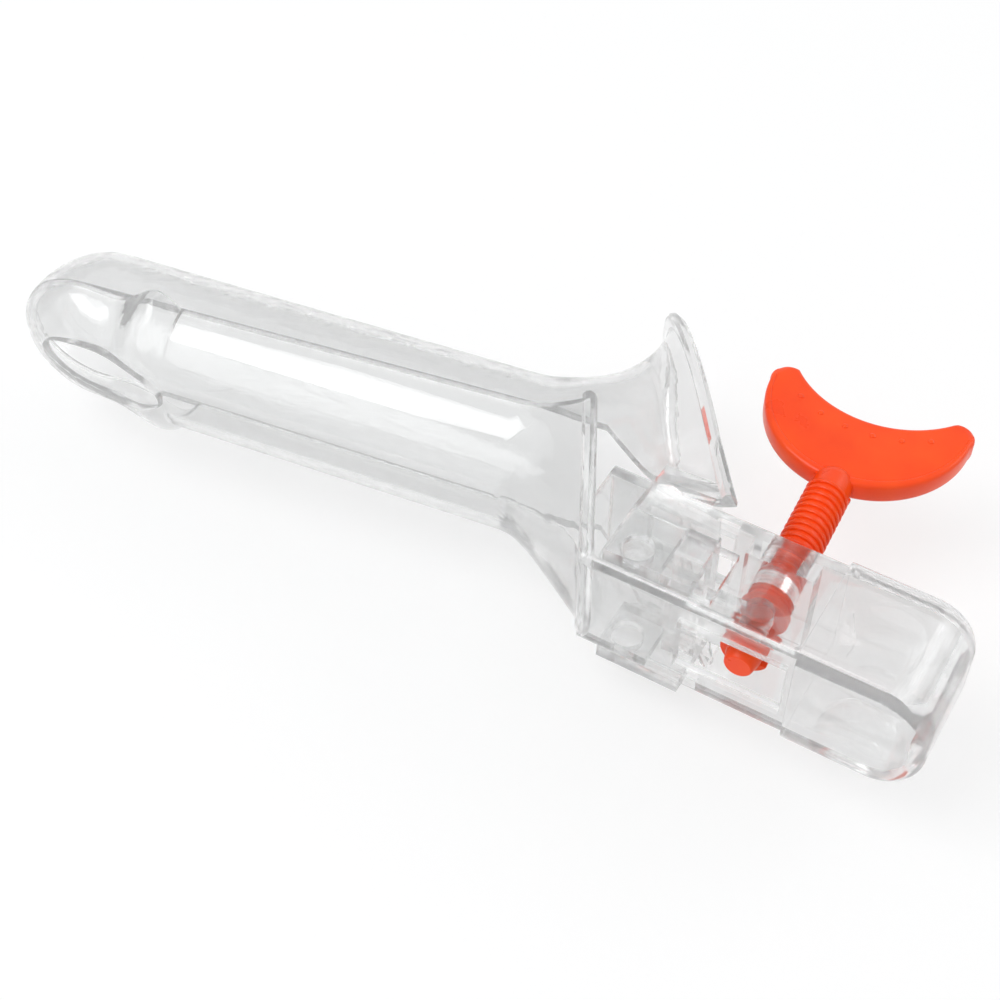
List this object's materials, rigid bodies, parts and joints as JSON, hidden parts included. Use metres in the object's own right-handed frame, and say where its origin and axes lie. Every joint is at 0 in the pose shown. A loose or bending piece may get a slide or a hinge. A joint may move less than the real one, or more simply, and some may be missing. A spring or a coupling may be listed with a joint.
{
  "type": "bivalve speculum",
  "caption": "Clear plastic bivalve speculum with flared mouth, hollow handle and an orange crescent thumb screw that opens its blades.",
  "frame": {"origin": "centre of the closed blades' neck, on the seam between the two valves", "axes": "+X back along the blades to the handle, +Y the way the upper blade opens, +Z across the instrument, up as it lies on its side"},
  "size_m": [0.1973, 0.0841, 0.0504],
  "materials": {
    "clear_plastic": "clear polished moulding",
    "orange_plastic": "satin orange moulding"
  },
  "bodies": {
    "handle": {"lower_valve": "clear_plastic"},
    "upper": {"upper_valve": "clear_plastic"},
    "keeper": {"screw_keeper": "orange_plastic"},
    "screw": {"thumb_screw": "orange_plastic"}
  },
  "joints": [
    {"name": "valve_open", "type": "hinge", "parent": "handle", "child": "upper", "pos_m": [0.03117, -0.02365, 0], "axis": [0, 0, -1], "range_deg": [0, 20.01]},
    {"name": "keeper_slide", "type": "slide", "parent": "handle", "child": "keeper", "axis": [-0.1011, -0.9949, 0], "range_m": [0, 0.00779]},
    {"name": "screw_turn", "type": "hinge", "parent": "keeper", "child": "screw", "pos_m": [0.0575, 0.0146, 0], "axis": [-0.1011, -0.9949, 0], "range_deg": [0, 1752.8]}
  ],
  "couplings": [
    {"joint": "valve_open", "follows": "keeper_slide", "rad_per_m": 44.809},
    {"joint": "screw_turn", "follows": "keeper_slide", "rad_per_m": 3927}
  ]
}
